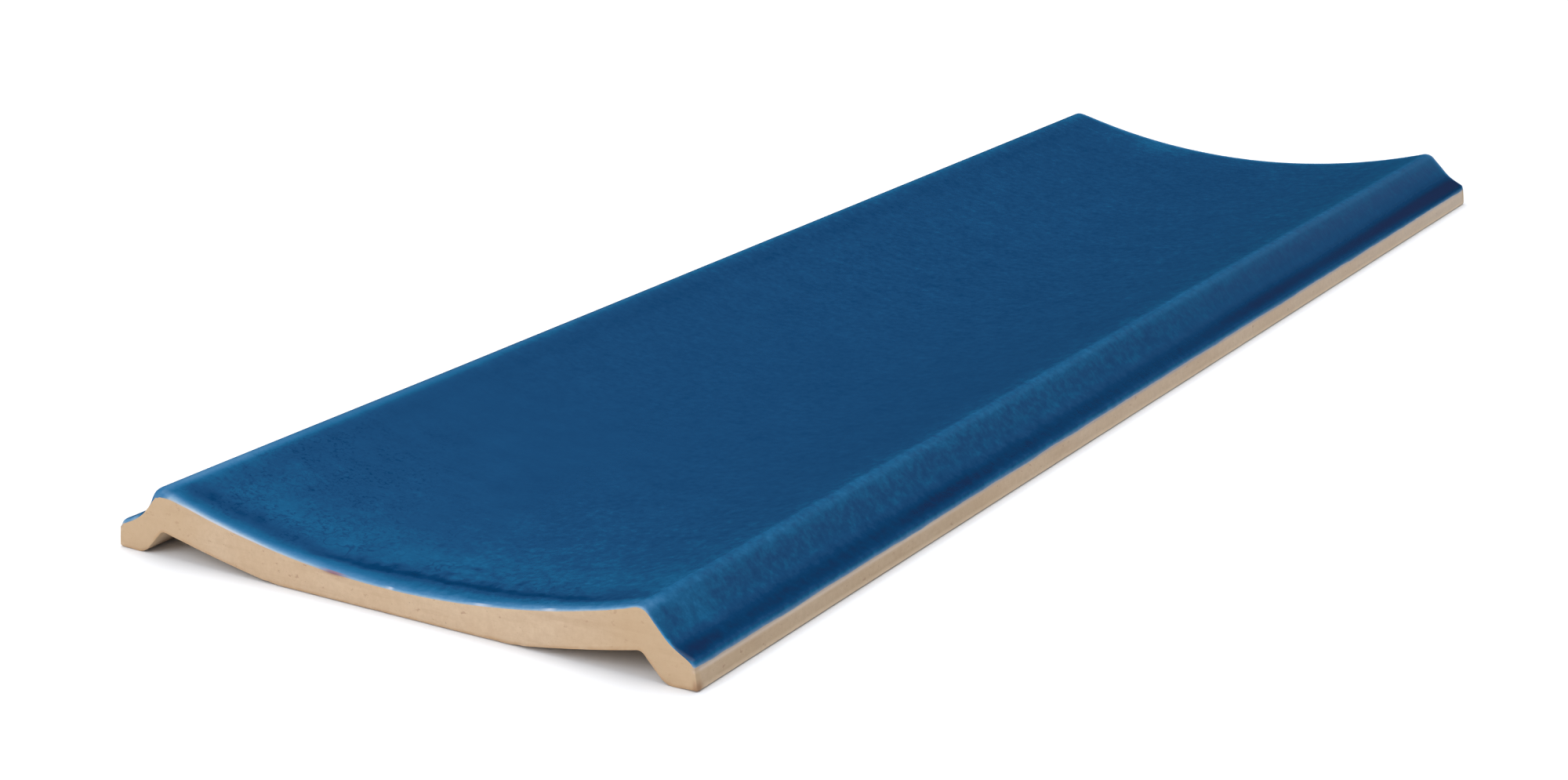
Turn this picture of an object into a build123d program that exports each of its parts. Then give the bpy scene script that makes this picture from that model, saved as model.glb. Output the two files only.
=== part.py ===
from build123d import *

# Curved ceramic wall tile, 100 x 300 x 10.15 mm, lying on its back, glazed face up.
#
# One pressed and fired piece, with the same section all along its length: a
# shallow concave channel between two rounded ridges, and outside each ridge a
# steep flank that runs out through a small cove into a low edge flange. The left
# ridge stands a touch higher and tighter than the right one, as the piece does. The
# back has a flat bonding strip down the middle and a flat foot under each
# flange, all in one plane, with a shallow hollow on either side of the strip.
#
# The section is drawn in X (across) and Z (up from the back) and runs along Y.
# Origin: the middle of the footprint, in the plane of the back. Millimetres.

import os
from math import asin, cos, pi, radians, sin, sqrt, tan

# ---- overall ---------------------------------------------------------------
LENGTH = 300.0  # along Y
WIDTH = 100.0  # along X, across the feet
HEIGHT = 10.15  # crest of the left ridge, the higher one, above the back

# ---- glazed face -----------------------------------------------------------
CHANNEL_R = 142.0  # radius of the concave channel
CHANNEL_Z = 4.05  # height of the channel's lowest line
RIDGE_R = 2.3  # rounding of the right ridge
RIDGE_R_LEFT = 1.8  # rounding of the left ridge
RIDGE_DROP = 0.15  # the right ridge's crest is this much below the left one's
FLANK_DEG = 48.0  # slope of the right ridge's outer flank, from level
FLANK_DEG_LEFT = 50.0  # slope of the left ridge's outer flank
COVE_R = 8.0  # cove between flank and flange
FLANGE_DEG = 24.0  # slope of the flange's top, from level
FLANGE_Z = 4.05  # where the flange's top and the side face would meet
LIP_R = 0.8  # rounded lip of glaze along the long edges

# ---- edges -----------------------------------------------------------------
SIDE_DRAFT_DEG = 7.5  # the long sides lean in towards the face
END_LIP_R = 0.6  # rounded lip round the short ends and down the upright corners
BACK_EDGE_R = 0.4  # rubbed edge along the outside of the feet

# ---- back ------------------------------------------------------------------
STRIP_HALF = 20.2  # half width of the flat bonding strip
STRIP_EDGE_R = 15.0  # soft turn from strip to hollow
ROOF_END = (41.4, 3.95)  # where the hollow's roof and the foot's wall would meet
ROOF_MID = (30.75, 1.74)  # the roof bows down a little between the two
ROOF_R = 1.2  # rounding at the top of the hollow
FOOT_IN_X = 45.1  # where the foot's wall and its bottom would meet
FOOT_R = 2.8  # rounding between the foot's wall and its bottom

# ---- section, each half worked out as if it were the right one ---------------
side = radians(SIDE_DRAFT_DEG)
flange = radians(FLANGE_DEG)
channel_top = CHANNEL_Z + CHANNEL_R  # height of the channel's centre

# the rubbed edge takes a little off the foot, so its sharp corner stands proud
foot_x = WIDTH / 2 + BACK_EDGE_R * (1 / tan((pi / 2 - side) / 2) - 1)
flange_x = foot_x - FLANGE_Z * tan(side)


def ridge(crest, radius, flank_deg):
    """Points where a ridge's rounding starts, peaks and ends, and the flank's foot."""
    flank = radians(flank_deg)
    cz = crest - radius
    cx = sqrt((CHANNEL_R + radius) ** 2 - (channel_top - cz) ** 2)
    rise = asin(cx / (CHANNEL_R + radius))
    start = (cx - radius * sin(rise), cz + radius * cos(rise))
    end = (cx + radius * sin(flank), cz + radius * cos(flank))
    # flank and flange top meet here, before the cove rounds them
    foot = (
        end[1] - FLANGE_Z + tan(flank) * end[0] - tan(flange) * flange_x
    ) / (tan(flank) - tan(flange))
    return start, (cx, crest), end, (foot, end[1] - tan(flank) * (foot - end[0]))


def mirror(point):
    """The point's mirror image across the tile's middle."""
    return (-point[0], point[1])


right = ridge(HEIGHT - RIDGE_DROP, RIDGE_R, FLANK_DEG)
left = [mirror(p) for p in ridge(HEIGHT, RIDGE_R_LEFT, FLANK_DEG_LEFT)]

with BuildSketch(Plane.XZ) as section:
    with BuildLine():
        # glazed face: channel and ridges
        ThreePointArc(left[0], (0, CHANNEL_Z), right[0])
        ThreePointArc(*right[:3])
        ThreePointArc(*left[:3])
        # flank, flange, side, foot and the foot's inner wall, on each side
        outer = [(flange_x, FLANGE_Z), (foot_x, 0), (FOOT_IN_X, 0), ROOF_END]
        Polyline(right[2], right[3], *outer)
        Polyline(left[2], left[3], *[mirror(p) for p in outer])
        # hollow roofs and the bonding strip
        ThreePointArc(ROOF_END, ROOF_MID, (STRIP_HALF, 0))
        ThreePointArc(mirror(ROOF_END), mirror(ROOF_MID), (-STRIP_HALF, 0))
        Line((-STRIP_HALF, 0), (STRIP_HALF, 0))
    make_face()

profile = section.sketch
for radius, points in (
    (COVE_R, (right[3], left[3])),
    (LIP_R, ((flange_x, FLANGE_Z), (-flange_x, FLANGE_Z))),
    (BACK_EDGE_R, ((foot_x, 0), (-foot_x, 0))),
    (FOOT_R, ((FOOT_IN_X, 0), (-FOOT_IN_X, 0))),
    (ROOF_R, (ROOF_END, mirror(ROOF_END))),
    (STRIP_EDGE_R, ((STRIP_HALF, 0), (-STRIP_HALF, 0))),
):
    corners = [
        v
        for v in profile.vertices()
        if any(abs(v.X - x) < 0.01 and abs(v.Z - z) < 0.01 for x, z in points)
    ]
    assert len(corners) == 2, (radius, points, len(corners))
    profile = fillet(corners, radius)

# ---- body --------------------------------------------------------------------
tile = extrude(profile, amount=LENGTH / 2, both=True)

# one rounded lip runs round each end: over the glazed face and down both
# upright corners, as far as the rubbed edge of the feet
end_edges = []
for e in tile.edges():
    ends = e.vertices()
    if any(abs(abs(v.Y) - LENGTH / 2) > 0.01 for v in ends):
        continue
    if ends[0].Y * ends[-1].Y < 0:
        continue
    on_face = all(v.Z > CHANNEL_Z - 0.01 for v in ends)
    on_side = all(abs(v.X) > flange_x - 1 and v.Z > BACK_EDGE_R for v in ends)
    if on_face or on_side:
        end_edges.append(e)
print("end edges", len(end_edges))
tile = fillet(end_edges, END_LIP_R)

tile = tile.solids()[0] if len(tile.solids()) == 1 else tile
box = tile.bounding_box()
print("size", box.size, "low", box.min, "valid", tile.is_valid)
print("volume cm3", round(tile.volume / 1000, 2), "section mm2", round(profile.area, 1))
print("ridges at", left[1], right[1], "flank feet", left[3], right[3], "foot", foot_x)

os.makedirs("parts", exist_ok=True)
export_step(tile, "parts/tile.step")
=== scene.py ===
from math import asin, atan2, cos, degrees, hypot, pi, radians, sin, sqrt, tan

import bmesh
import bpy
import numpy as np
from mathutils import Matrix, Vector


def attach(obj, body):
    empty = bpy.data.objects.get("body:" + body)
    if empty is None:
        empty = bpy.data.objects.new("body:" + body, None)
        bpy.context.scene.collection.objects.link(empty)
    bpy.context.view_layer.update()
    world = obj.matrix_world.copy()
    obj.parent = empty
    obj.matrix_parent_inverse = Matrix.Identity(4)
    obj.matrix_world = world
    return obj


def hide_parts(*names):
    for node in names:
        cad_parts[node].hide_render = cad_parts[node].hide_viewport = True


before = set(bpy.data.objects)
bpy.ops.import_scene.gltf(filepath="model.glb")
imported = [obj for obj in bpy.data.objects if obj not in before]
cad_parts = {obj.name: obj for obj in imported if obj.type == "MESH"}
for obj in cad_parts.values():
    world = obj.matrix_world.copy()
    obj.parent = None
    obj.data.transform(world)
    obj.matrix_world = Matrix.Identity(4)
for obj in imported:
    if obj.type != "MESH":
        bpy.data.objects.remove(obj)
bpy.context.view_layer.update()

# ---------------------------------------------------------------------------
# Tile: one closed mesh, glaze and bare body as its two materials. All of the
# section is worked out in millimetres, like the solid it stands for.
# ---------------------------------------------------------------------------
LENGTH, WIDTH, HEIGHT = 300.0, 100.0, 10.15
CHANNEL_R, CHANNEL_Z = 142.0, 4.05
RIGHT_RIDGE = (10.0, 2.3, radians(48.0))  # crest, rounding, slope of the flank
LEFT_RIDGE = (10.15, 1.8, radians(50.0))
COVE_R = 8.0
FLANGE, FLANGE_Z, LIP_R = radians(24.0), 4.05, 0.8
SIDE = radians(7.5)
BACK_EDGE_R = 0.4
STRIP_HALF, STRIP_EDGE_R = 20.2, 15.0
ROOF_END, ROOF_MID, ROOF_R = (41.4, 3.95), (30.75, 1.74), 1.2
FOOT_IN_X, FOOT_R = 45.1, 2.8
GLAZE_Z = 3.14  # the glaze stops here on the long sides


class Noise:
    """Smooth seeded noise of one or two coordinates: a few sine waves, about -1 to 1."""

    def __init__(self, seed, longest, shortest, waves=14):
        r = np.random.default_rng(seed)
        lengths = np.geomspace(longest, shortest, waves)
        turn = r.uniform(0, 2 * pi, waves)
        self.kx = 2 * pi / lengths * np.cos(turn)
        self.ky = 2 * pi / lengths * np.sin(turn)
        self.phase = r.uniform(0, 2 * pi, waves)
        self.amp = (lengths / longest) ** 0.5
        self.amp /= np.sqrt((self.amp**2).sum() / 2) * 1.6

    def __call__(self, x, y=0.0):
        x, y = np.broadcast_arrays(np.asarray(x, float), np.asarray(y, float))
        a = x[..., None] * self.kx + y[..., None] * self.ky + self.phase
        return (np.sin(a) * self.amp).sum(-1)


def arc(cx, cz, r, a0, a1, n):
    """n + 1 points from angle a0 to a1, in degrees from +X towards +Z."""
    t = np.radians(np.linspace(a0, a1, n + 1))
    return np.column_stack([cx + r * np.cos(t), cz + r * np.sin(t)])


def line(p, q, n):
    t = np.linspace(0, 1, n + 1)[:, None]
    return np.asarray(p)[None] * (1 - t) + np.asarray(q)[None] * t


def chain(*parts):
    """Joins runs of points that each start where the last one ended."""
    out = [parts[0]]
    for p in parts[1:]:
        out.append(p[1:])
    return np.concatenate(out)


# tangent points of the section, right half
foot_x = WIDTH / 2 + BACK_EDGE_R * (1 / tan((pi / 2 - SIDE) / 2) - 1)
flange_x = foot_x - FLANGE_Z * tan(SIDE)
channel_cz = CHANNEL_Z + CHANNEL_R
t = LIP_R * tan((pi / 2 - FLANGE - SIDE) / 2)
lip = np.array([flange_x, FLANGE_Z])
lip_a = lip + t * np.array([-cos(FLANGE), sin(FLANGE)])
lip_b = lip + t * np.array([sin(SIDE), -cos(SIDE)])
lip_c = lip_a - LIP_R * np.array([sin(FLANGE), cos(FLANGE)])
t = BACK_EDGE_R / tan((pi / 2 - SIDE) / 2)
back_a = np.array([foot_x - t * sin(SIDE), t * cos(SIDE)])
back_c = np.array([foot_x - t, BACK_EDGE_R])

# foot, wall, roof and strip of the back
wall = atan2(ROOF_END[1], FOOT_IN_X - ROOF_END[0])
t = FOOT_R * tan(wall / 2)
foot_b = np.array([FOOT_IN_X - t * cos(wall), t * sin(wall)])
(x1, z1), (x2, z2), (x3, z3) = ROOF_END, ROOF_MID, (STRIP_HALF, 0.0)
d = 2 * (x1 * (z2 - z3) + x2 * (z3 - z1) + x3 * (z1 - z2))
roof_cx = ((x1**2 + z1**2) * (z2 - z3) + (x2**2 + z2**2) * (z3 - z1) + (x3**2 + z3**2) * (z1 - z2)) / d
roof_cz = ((x1**2 + z1**2) * (x3 - x2) + (x2**2 + z2**2) * (x1 - x3) + (x3**2 + z3**2) * (x2 - x1)) / d
roof_rr = hypot(x1 - roof_cx, z1 - roof_cz)
# roof fillet: its centre is ROOF_R off the wall's line and off the roof's arc, in the hollow
lo, hi = 0.0, 8.0
base = np.array([FOOT_IN_X, 0.0]) - ROOF_R * np.array([sin(wall), cos(wall)])
for _ in range(60):
    s = (lo + hi) / 2
    c = base + s * np.array([-cos(wall), sin(wall)])
    gap = hypot(c[0] - roof_cx, c[1] - roof_cz) - (roof_rr + ROOF_R)
    lo, hi = (s, hi) if gap > 0 else (lo, s)
roof_c = c
wall_top = roof_c + ROOF_R * np.array([sin(wall), cos(wall)])
to_roof = np.array([roof_cx, roof_cz]) - roof_c
roof_a = degrees(atan2(to_roof[1], to_roof[0]))
strip_cz = STRIP_EDGE_R
strip_cx = roof_cx - sqrt((roof_rr - STRIP_EDGE_R) ** 2 - (strip_cz - roof_cz) ** 2)
if abs(strip_cx - STRIP_HALF) > 3:
    strip_cx = roof_cx + sqrt((roof_rr - STRIP_EDGE_R) ** 2 - (strip_cz - roof_cz) ** 2)
strip_dir = degrees(atan2(strip_cz - roof_cz, strip_cx - roof_cx))
roof_from = degrees(atan2(roof_c[1] - roof_cz, roof_c[0] - roof_cx))


def spaced(n, power):
    """0 to 1 in n steps that get finer towards 1."""
    u = np.linspace(0, 1, n + 1)
    return 1 - (1 - u) ** power


# runs of the top row: channel, ridge, flank, cove, flange, lip
RUNS = (52, 12, 5, 7, 4, 6)


def half_top(crest, radius, flank):
    """Top row of one half, from the middle outwards, drawn as the right one."""
    cz = crest - radius
    cx = sqrt((CHANNEL_R + radius) ** 2 - (channel_cz - cz) ** 2)
    rise = asin(cx / (CHANNEL_R + radius))
    end = np.array([cx + radius * sin(flank), cz + radius * cos(flank)])
    foot = (end[1] - FLANGE_Z + tan(flank) * end[0] - tan(FLANGE) * flange_x) / (tan(flank) - tan(FLANGE))
    corner = np.array([foot, end[1] - tan(flank) * (foot - end[0])])
    t = COVE_R * tan((flank - FLANGE) / 2)
    cove_a = corner + t * np.array([-cos(flank), sin(flank)])
    cove_b = corner + t * np.array([cos(FLANGE), -sin(FLANGE)])
    cove_c = cove_a + COVE_R * np.array([sin(flank), cos(flank)])
    th = spaced(RUNS[0], 1.15) * rise
    return chain(
        np.column_stack([CHANNEL_R * np.sin(th), channel_cz - CHANNEL_R * np.cos(th)]),
        arc(cx, cz, radius, 90 + degrees(rise), 90 - degrees(flank), RUNS[1]),
        line(end, cove_a, RUNS[2]),
        arc(*cove_c, COVE_R, 270 - degrees(flank), 270 - degrees(FLANGE), RUNS[3]),
        line(cove_b, lip_a, RUNS[4]),
        arc(*lip_c, LIP_R, 90 - degrees(FLANGE), degrees(SIDE), RUNS[5]),
    )


right_top = half_top(*RIGHT_RIDGE)
left_top = half_top(*LEFT_RIDGE)
# bottom row, from the middle outwards
bottom = chain(
    line((0, 0), (strip_cx, 0), 20),
    arc(strip_cx, strip_cz, STRIP_EDGE_R, -90, strip_dir, 4),
    arc(roof_cx, roof_cz, roof_rr, strip_dir, roof_from, 34),
    arc(*roof_c, ROOF_R, roof_a, 90 - degrees(wall), 6),
    line(wall_top, foot_b, 5),
    arc(foot_b[0] + FOOT_R * sin(wall), FOOT_R, FOOT_R, 180 + 90 - degrees(wall), 270, 6),
    line((FOOT_IN_X + FOOT_R * tan(wall / 2), 0), (back_c[0], 0), 6),
    arc(*back_c, BACK_EDGE_R, -90, degrees(SIDE), 5),
)
assert len(right_top) == len(bottom)
K = len(right_top) - 1
# side column, from the lip down to the back edge
SIDE_Z = [lip_b[1], 3.36, GLAZE_Z + 0.07, GLAZE_Z, GLAZE_Z - 0.06, 2.92, 2.6, 2.2, 1.7, 1.2, 0.8, back_a[1]]
side = np.column_stack([foot_x - np.array(SIDE_Z) * tan(SIDE), SIDE_Z])
GLAZE_ROW = 3  # the side row where the glaze ends
R = len(side) - 1

# the whole section as one loop, anticlockwise seen from -Y: top right to left
top_all = np.concatenate([right_top[::-1], (left_top * [-1, 1])[1:]])  # right lip .. left lip
bottom_all = np.concatenate([(bottom * [-1, 1])[::-1], bottom[1:]])  # left .. right
left_side = (side * [-1, 1])[1:-1]
right_side = side[::-1][1:-1]
loop = np.concatenate([top_all, left_side, bottom_all, right_side])
M = len(loop)
nt = len(top_all)

kind = np.zeros(M, int)  # 0 glaze, 1 body
kind[nt + GLAZE_ROW :] = 1
kind[M - GLAZE_ROW :] = 0  # right side's glazed rows, counted up from below

nxt, prv = np.roll(loop, -1, 0), np.roll(loop, 1, 0)
tangent = nxt - prv
tangent /= np.linalg.norm(tangent, axis=1)[:, None]
normal = np.column_stack([tangent[:, 1], -tangent[:, 0]])
if (normal[nt // 2] @ np.array([0, 1.0])) < 0:
    normal = -normal

# ---------------------------------------------------------------------------
# Coat: how thick the glaze lies, in millimetres. It runs thin on the ridges,
# lips and ends, and pools in the coves and just inside the ends.
# ---------------------------------------------------------------------------
def lengths(points):
    return np.concatenate([[0], np.cumsum(np.linalg.norm(np.diff(points, axis=0), axis=1))])


# distance from the middle along the face; the left half's runs are stretched to the
# right half's, so that one scale places ridge, flank, cove and lip on both
marks = np.concatenate([[0], np.cumsum(RUNS)])
right_len, left_len = lengths(right_top), lengths(left_top)
left_len = np.interp(left_len, left_len[marks], right_len[marks])
S_LIP = right_len[-1]
side_len = S_LIP + lengths(side)
across = np.zeros(M)
across[:nt] = np.concatenate([right_len[::-1], left_len[1:]])
across[nt : nt + R - 1] = side_len[1:-1]
across[M - R + 1 :] = side_len[1:-1][::-1]
S_RIM = side_len[GLAZE_ROW]


def table(v, *pairs):
    """Value at v, from (place, value) pairs, straight between them."""
    return np.interp(v, *zip(*pairs))


def smooth(x, a, b):
    t = np.clip((x - a) / (b - a), 0, 1)
    return t * t * (3 - 2 * t)


def hump(x, at, width):
    return np.exp(-(((x - at) / width) ** 2))


n_wave = Noise(13, 90.0, 16.0, 14)
n_rim = Noise(14, 34.0, 2.2, 16)
n_line = Noise(11, 30.0, 3.0, 10)
n_patch = Noise(12, 60.0, 9.0, 12)
n_body = Noise(15, 60.0, 3.0, 18)
n_chip = Noise(16, 11.0, 1.3, 16)
n_drag = Noise(17, 3.2, 0.5, 12)


def coat(s, d, x, y):
    """Glaze thickness at face distance s from the middle and d from the nearest end."""
    near = y < 0
    base = table(
        s, (0, 0.360), (33, 0.356), (37, 0.345), (39, 0.326), (40, 0.315), (40.8, 0.304),
        (41.5, 0.293), (42.2, 0.290), (42.7, 0.286), (43.2, 0.294), (43.8, 0.310), (45, 0.332),
        (47.5, 0.335), (48.3, 0.380), (49, 0.450), (50, 0.590), (50.6, 0.620), (51.2, 0.570),
        (51.8, 0.430), (52.1, 0.335), (52.4, 0.250), (52.65, 0.170), (52.85, 0.110), (S_RIM, 0.030),
        (60, 0.0),
    )
    # the coves fill up towards the far end, and close behind the near one
    cove = table(
        y, (-150, 1.22), (-145, 1.25), (-140, 1.06), (-134, 0.95), (-95, 0.96), (-80, 1.14), (-65, 0.96),
        (-45, 0.91), (-20, 0.87), (0, 0.90), (14, 0.95), (40, 1.24), (54, 1.22), (70, 1.12), (85, 1.24),
        (100, 1.43), (140, 1.88), (150, 1.98),
    )
    far = smooth(y, 60, 140)
    base = base * (1 + (cove - 1) * hump(s, 50.2 + 0.35 * far, 1.6 + 0.3 * far))
    flank = table(y, (-150, 1.0), (20, 1.0), (45, 1.03), (100, 1.06), (135, 1.10), (150, 1.10))
    base = base * (1 + (flank - 1) * (x > 0) * smooth(s, 41.0, 42.2) * (1 - smooth(s, 47.5, 49.0)))
    base = base * (1 + 0.18 * (x > 0) * smooth(y, 20, 70) * smooth(s, 52.3, 52.6))
    right = table(
        y, (-150, 0.74), (-146, 0.80), (-144, 0.98), (-141, 1.10), (-137, 1.14), (-130, 1.08), (-120, 1.0),
    )
    base = base * (1 + (np.where(x < 0, 1.0, right) - 1) * hump(s, 42.4, 1.2))
    base = base * (1 + (0.06 + 0.04 * smooth(y, -90, -30) + 0.06 * hump(y, -143, 9)) * (x < 0) * hump(s, 37.5, 2.2))
    base = base * (1 + 0.07 * (x > 0) * hump(s, 38.2, 2.0) * hump(y, -134, 9))
    base = base * (1 + 0.06 * (x > 0) * hump(s, 39.9, 1.0) * smooth(y, -146, -138) * (1 - smooth(y, -105, -90)))
    base = base * (1 - 0.09 * (x > 0) * hump(s, 43.0, 1.0) * hump(y, -125, 9))
    base = base * (1 + 0.05 * smooth(y, 60, 130) * (1 - smooth(x, 0, 20)) * (s < 40))
    base = base * (1 + 0.22 * (x > 0) * smooth(y, 122, 146) * smooth(s, 50.6, 51.2) * (1 - smooth(s, 52.0, 52.6)))
    base = base * table(y, (-150, 1.10), (-143, 1.12), (-136, 1.16), (-120, 1.14), (-80, 1.14), (-20, 1.14), (60, 1.11), (110, 1.07), (150, 1.07))
    base = base * (1 - 0.05 * smooth(x, 12, 30) * smooth(y, -60, 40) * (1 - smooth(s, 41, 43)))
    base = base * (1 - 0.06 * smooth(s, 40.5, 42.0) * (1 - smooth(s, 48.5, 50.0)))
    # the left ridge is thinnest near the near end, for half its length
    left = table(
        y, (-150, 0.172), (-147, 0.168), (-144, 0.156), (-134, 0.164), (-126, 0.195), (-113, 0.225), (-98, 0.231),
        (-80, 0.256), (-57, 0.268), (20, 0.258), (82, 0.258), (140, 0.300), (150, 0.300),
    )
    low = table(y, (-150, 39.7), (-140, 39.6), (-120, 39.5), (-80, 39.5), (-50, 40.0), (0, 40.4))
    base = base + (left - base) * (x < 0) * smooth(s, low, low + 1.5) * (1 - smooth(s, 43.4, 45.4))
    # towards an end the coat thins, and close to it quickly
    over = table(
        d, (0, 0.17), (0.3, 0.38), (0.6, 0.43), (1.0, 0.475), (1.5, 0.585), (2.0, 0.65), (2.5, 0.71),
        (3.0, 0.79), (3.5, 0.86), (4.0, 0.90), (5.0, 0.93), (6.0, 0.895), (8.0, 0.82), (10, 0.785),
        (14, 0.80), (20, 0.867), (30, 0.92), (40, 0.96), (60, 0.985), (90, 1.0),
    )
    steep = table(
        d, (0, 0.30), (0.4, 0.72), (1.0, 0.84), (1.5, 0.88), (2.0, 0.91), (3.0, 0.97), (4.0, 0.96),
        (8.0, 0.87), (11, 0.90), (15, 0.93), (20, 1.0),
    )
    near_thin = over + (steep - over) * smooth(s, 39.5, 43.5)
    # the left ridge's lip is blue down to the body, and its flange's lip pale blue
    knob = table(d, (0, 1.1), (0.3, 1.46), (0.7, 1.38), (1.2, 1.20), (1.8, 1.06), (3.0, 1.0), (20, 1.0))
    shelf = table(d, (0, 0.16), (0.5, 0.25), (1.0, 0.36), (1.5, 0.55), (2.2, 0.85), (5, 0.95), (20, 1.0))
    near_thin = near_thin + (knob - near_thin) * (x < 0) * smooth(s, 39.3, 41.3)
    near_thin = near_thin + (shelf - near_thin) * (x < 0) * smooth(s, 46.5, 49.0)
    far_thin = table(
        d, (0, 0.055), (0.3, 0.25), (0.6, 0.42), (1.0, 0.62), (1.5, 0.79), (2.0, 0.87), (3.0, 0.90),
        (6.0, 0.93), (12, 0.97), (20, 1.0),
    )
    thin = np.where(near, near_thin, far_thin)
    # the pale edge is broader left of the middle
    pale = hump(x, -31.0, 13.0) * near * (1 - smooth(d, 0.35, 1.0))
    thin = thin * (1 - 0.42 * pale)
    thin = thin * (1 + 0.10 * near * hump(d, 2.2, 0.9) * smooth(x, -8, -16) * (s < 40))
    thin = thin * (1 + 0.14 * near * hump(d, 0.9, 0.8) * smooth(x, 26, 31) * (s < 42))
    thin = thin * (1 - 0.09 * near * hump(d, 7.0, 2.6) * hump(x, -18, 8))
    thin = thin * (1 + 0.10 * n_rim(x * 1.2 + 9, y) * (1 - smooth(d, 0.8, 2.2)))
    # a paler patch at the far end, left of the middle
    patch = hump(x, -20.5, 7.0) * hump(y, 146.0, 5.0)
    return base * thin * (1 - 0.17 * patch)


# ---------------------------------------------------------------------------
# Loft along Y
# ---------------------------------------------------------------------------
glazed = kind == 0
edge_mix = np.zeros(M)  # 1 on the glaze, 0 on the body, eased over the lip's foot
edge_mix[:nt] = 1.0
edge_mix[nt : nt + R - 1] = 1 - smooth(side_len[1:-1], S_LIP + 0.05, S_LIP + 0.5)
edge_mix[M - R + 1 :] = (1 - smooth(side_len[1:-1], S_LIP + 0.05, S_LIP + 0.5))[::-1]

PHI = np.radians([90, 76, 62, 47, 32, 16, 0])  # round the end's lip, edge to face
D_IN = [0.2, 0.45, 0.75, 1.05, 1.4, 1.75, 2.1, 2.5, 2.95, 3.5, 4.2, 5.0, 6.0, 7.2, 8.6]
MIDDLE = 184
half_stations = len(PHI) + len(D_IN)
middle_y = np.linspace(-(LENGTH / 2 - 8.6), LENGTH / 2 - 8.6, MIDDLE + 1)[1:-1]


def end_half(sign):
    """Rings of points from one end's edge inwards: (points, distance from the end)."""
    x, z = loop[:, 0], loop[:, 1]
    ys = np.full(M, sign * LENGTH / 2)
    # lip: the glaze rolls over softly, most of all on the left ridge, and the body's
    # edge is only rubbed, more so at its four lower corners
    low = (1 - edge_mix) * hump(z, 0.0, 0.9) * smooth(np.abs(x), 46, 49)
    left = x < 0
    if sign < 0:
        reach = np.where(
            left,
            table(across, (0, 1.25), (38, 1.3), (40, 1.5), (42.5, 1.9), (45, 1.7), (50, 1.5), (52.5, 1.2)),
            table(across, (0, 1.25), (39, 1.2), (42, 0.9), (44, 0.7), (48, 0.7), (51, 0.9), (52.5, 1.0)),
        )
        depth = 0.05 * (1 - smooth(across, 38, 41)) * smooth(x, -16, -10) + np.where(
            left,
            table(
                across, (0, 0.31), (36, 0.31), (37.8, 0.40), (39, 0.47), (40, 0.65), (40.8, 0.95), (41.6, 1.18),
                (42.3, 1.20), (43.2, 1.05), (44.2, 0.92), (45.5, 0.84), (47, 0.76), (48.5, 0.62), (50, 0.56),
                (51.3, 0.58), (52.2, 0.52), (52.8, 0.50),
            ),
            table(
                across, (0, 0.30), (38, 0.30), (40, 0.28), (42, 0.19), (43.5, 0.11), (48, 0.08), (49.5, 0.11),
                (51, 0.24), (52, 0.42), (52.7, 0.34),
            ),
        )
    else:
        reach = 0.9 + 0.7 * left * hump(across, 42.5, 2.5)
        depth = 0.12 + 0.24 * left * hump(across, 42.5, 2.2) + 0.12 * hump(across, 52.0, 1.5)
    low = low * np.where(left, 0.5, 1.0)
    a = 0.14 + (reach - 0.14) * edge_mix + 0.45 * low
    a = a + 0.12 * n_rim(x * 0.8, ys) * edge_mix
    b = 0.05 + (depth - 0.05) * edge_mix + 0.26 * low
    b = b + edge_mix * 0.025 * n_rim(x * 1.3 + 70, ys * 1.1)
    b = b + (1 - edge_mix) * (0.02 + 0.02 * n_chip(x * 0.7 + 5 * z, ys))
    b = b + (1 - edge_mix) * 0.12 * smooth(n_chip(x + 3 * z, ys + 31), 0.8, 1.3)
    b = np.maximum(b, 0.03)
    # the near end's edge is rubbed back a little where the strip meets the floor
    sole = (1 - edge_mix) * (z < 0.3) * (1 - smooth(np.abs(x), 22, 26)) * (sign < 0)
    a = a + 0.42 * sole
    b = b + 0.17 * sole
    # on the left flank the lip is a straight bevel instead
    bevel = edge_mix * left * (sign < 0) * smooth(across, 43.6, 46.0) * (1 - smooth(across, 48.0, 49.5))
    a = a + 1.3 * bevel
    rings, dists = [], []
    for phi in PHI:
        d = a * (1 - np.sin(phi))
        off = b * ((1 - np.cos(phi)) * (1 - bevel) + np.sin(phi) * bevel)
        p = loop - normal * off[:, None]
        rings.append(np.column_stack([p[:, 0], sign * (LENGTH / 2 - d), p[:, 1]]))
        dists.append(d)
    for d_in in D_IN:
        w = 1 - smooth(np.array([d_in]), 0, 8.6)[0]
        d = a * w + d_in
        rings.append(np.column_stack([x, sign * (LENGTH / 2 - d), z]))
        dists.append(d)
    return rings, dists


near_rings, near_d = end_half(-1)
far_rings, far_d = end_half(1)
rings = near_rings + [np.column_stack([loop[:, 0], np.full(M, y), loop[:, 1]]) for y in middle_y]
dists = near_d + [np.full(M, LENGTH / 2 - abs(y)) for y in middle_y]
rings += far_rings[::-1]
dists += far_d[::-1]
P = np.array(rings)  # stations x loop x 3
D = np.array(dists)
N = len(P)
S = np.broadcast_to(across, (N, M))
NX, NZ = normal[:, 0], normal[:, 1]

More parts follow.
